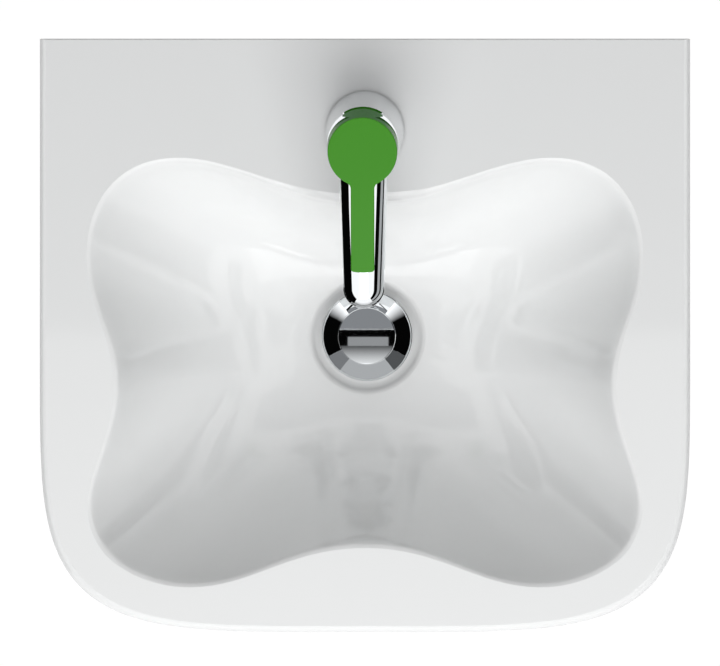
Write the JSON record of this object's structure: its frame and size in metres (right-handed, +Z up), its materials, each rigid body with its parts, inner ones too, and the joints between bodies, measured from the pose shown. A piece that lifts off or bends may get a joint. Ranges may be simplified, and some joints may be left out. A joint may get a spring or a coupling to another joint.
{
  "type": "hand basin",
  "caption": "Wall-hung hand basin with a four-lobed bowl, a leaning single-lever tap and a push-down waste.",
  "frame": {"origin": "midway between the two wall-bolt holes, on the wall plane", "axes": "+X along the basin's width, to the right as its user faces it; +Y into the wall; +Z up"},
  "size_m": [0.45, 0.4101, 0.3288],
  "materials": {
    "white_glaze": "glossy glazed sanitary ceramic",
    "chrome_plate": "polished chrome plate",
    "green_lacquer": "satin-gloss green lacquer",
    "green_plastic": "glossy",
    "black_rubber": "matt",
    "grey_rubber": "matt",
    "brass": "machined",
    "zinc_steel": "zinc plated",
    "white_plastic": "moulded",
    "grey_plastic": "moulded",
    "control_ceramic": "lapped",
    "spring_steel": "bright drawn wire"
  },
  "bodies": {
    "basin_and_fixings": {"basin": "white_glaze", "tap_body": "chrome_plate", "base_gasket": "black_rubber", "fixing_stud": "zinc_steel", "clamp_rubber": "black_rubber", "clamp_plate": "zinc_steel", "fixing_nut": "brass", "cartridge_base": "white_plastic", "port_seals": "black_rubber", "fixed_disc": "control_ceramic", "cartridge_housing": "white_plastic", "cartridge_nut": "brass", "aerator_housing": "chrome_plate", "aerator_insert": "grey_plastic", "aerator_washer": "black_rubber", "waste_body": "chrome_plate", "flange_gasket": "grey_rubber", "lower_gasket": "black_rubber", "slip_washer": "white_plastic", "back_nut": "brass", "click_housing": "brass", "click_spring": "spring_steel"},
    "turning_head": {"rotor": "grey_plastic", "rotor_seal": "black_rubber", "pivot_pin": "spring_steel", "turning_collar": "chrome_plate"},
    "lever": {"lever": "green_lacquer", "stem": "brass", "lever_screw": "zinc_steel", "lever_plug": "green_plastic"},
    "control_disc": {"moving_disc": "control_ceramic", "disc_carrier": "grey_plastic"},
    "stopper": {"stopper_cap": "chrome_plate", "stopper_seal": "black_rubber", "plunger": "brass"}
  },
  "joints": [
    {"name": "lever_turn", "type": "hinge", "parent": "basin_and_fixings", "child": "turning_head", "pos_m": [0, -0.07808, 0.17389], "axis": [0, -0.1564, 0.9877], "range_deg": [-50, 50]},
    {"name": "lever_lift", "type": "hinge", "parent": "turning_head", "child": "lever", "pos_m": [0, -0.07808, 0.17389], "axis": [-1, 0, 0], "range_deg": [0, 25]},
    {"name": "disc_slide", "type": "slide", "parent": "turning_head", "child": "control_disc", "axis": [0, -0.9877, -0.1564], "range_m": [0, 0.004]},
    {"name": "stopper_push", "type": "slide", "parent": "basin_and_fixings", "child": "stopper", "axis": [0, 0, 1], "range_m": [-0.008, 0], "stiffness_N_per_m": 900, "springref_m": 0.006, "deforming": ["click_spring"]}
  ],
  "couplings": [
    {"joint": "disc_slide", "follows": "lever_lift", "m_per_rad": 0.009}
  ]
}
